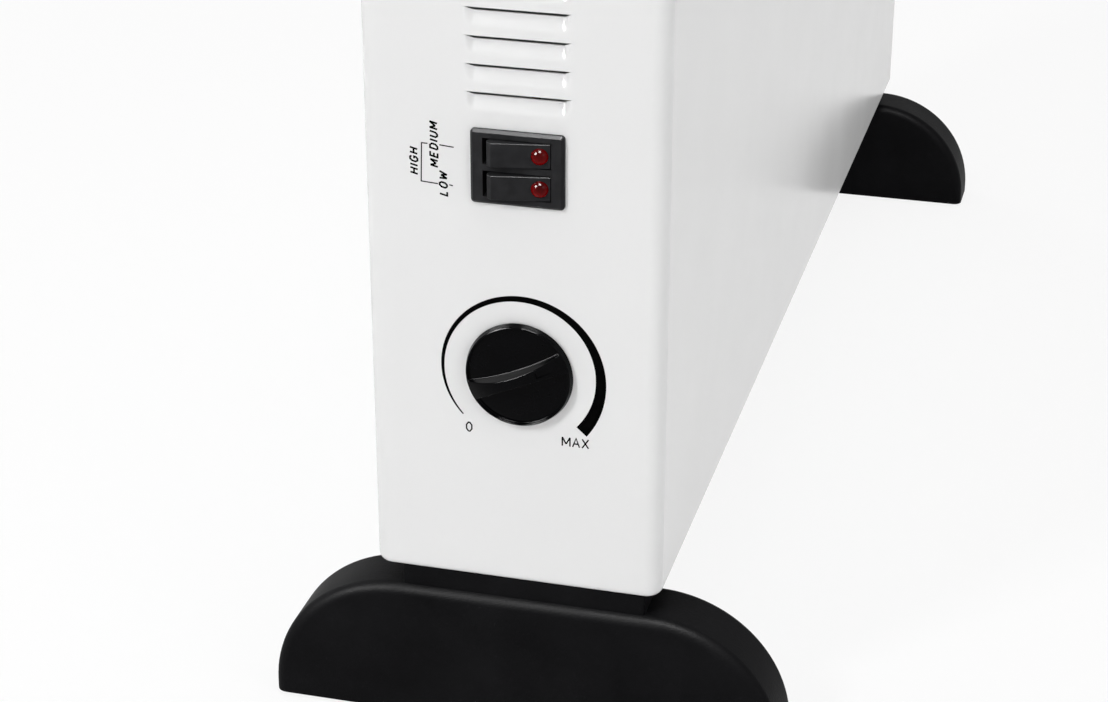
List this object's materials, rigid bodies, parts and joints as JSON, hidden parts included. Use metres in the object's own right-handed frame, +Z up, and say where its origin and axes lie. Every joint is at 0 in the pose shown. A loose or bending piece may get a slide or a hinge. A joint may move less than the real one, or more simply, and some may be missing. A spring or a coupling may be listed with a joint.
{
  "type": "convector heater",
  "caption": "Free-standing sheet-steel convector heater on two moulded feet, with a twin rocker switch and a thermostat knob on its end panel.",
  "frame": {"origin": "on the floor under the middle of the whole object", "axes": "+Z up, +X along the length away from the control end, -Y out of the front face"},
  "size_m": [0.5701, 0.185, 0.405],
  "materials": {
    "casing_paint": "white semi-gloss powder coat",
    "foot_moulding": "fine-grained black moulding",
    "switch_moulding": "satin black",
    "knob_moulding": "gloss black",
    "lens_red": "clear red",
    "pad_rubber": "matt",
    "zinc_sheet": "zinc-coated sheet",
    "plated_screw": "zinc-plated",
    "fin_aluminium": "mill finish",
    "rod_sheath": "oxidised sheath",
    "ceramic": "unglazed ceramic",
    "thermostat_moulding": "brown moulding",
    "brass_strip": "bright strip",
    "lead_sleeve": "woven sleeve",
    "gland_moulding": "black moulding"
  },
  "bodies": {
    "heater": {"casing_wrap": "casing_paint", "rear_panel": "casing_paint", "top_grille": "casing_paint", "bottom_grille": "casing_paint", "foot_control_end": "foot_moulding", "foot_far_end": "foot_moulding", "switch_housing": "switch_moulding", "foot_pads": "pad_rubber", "control_bulkhead": "zinc_sheet", "far_bulkhead": "zinc_sheet", "front_heat_shield": "zinc_sheet", "rear_heat_shield": "zinc_sheet", "thermostat_bracket": "zinc_sheet", "foot_plates": "zinc_sheet", "rear_panel_screws": "plated_screw", "bulkhead_screws": "plated_screw", "foot_screws": "plated_screw", "thermostat_nut": "plated_screw", "heater_fins_low": "fin_aluminium", "heater_fins_high": "fin_aluminium", "heater_rod_low": "rod_sheath", "heater_rod_high": "rod_sheath", "element_bushes": "ceramic", "terminal_block": "ceramic", "thermostat_body": "thermostat_moulding", "thermal_cutout": "thermostat_moulding", "switch_terminals": "brass_strip", "thermostat_blade": "brass_strip", "internal_leads": "lead_sleeve", "cord_gland": "gland_moulding"},
    "knob": {"thermostat_knob": "knob_moulding", "thermostat_spindle": "plated_screw"},
    "low_rocker": {"rocker_low": "switch_moulding", "lens_low": "lens_red"},
    "high_rocker": {"rocker_high": "switch_moulding", "lens_high": "lens_red"}
  },
  "joints": [
    {"name": "thermostat_turn", "type": "hinge", "parent": "heater", "child": "knob", "pos_m": [-0.2768, 0, 0.1401], "axis": [1, 0, 0], "range_deg": [-197.9, 64.9]},
    {"name": "low_rocker_tilt", "type": "hinge", "parent": "heater", "child": "low_rocker", "pos_m": [-0.2748, 0, 0.20745], "axis": [0, 0, -1], "range_deg": [0, 20.8]},
    {"name": "high_rocker_tilt", "type": "hinge", "parent": "heater", "child": "high_rocker", "pos_m": [-0.2748, 0, 0.21855], "axis": [0, 0, -1], "range_deg": [0, 20.8]}
  ]
}
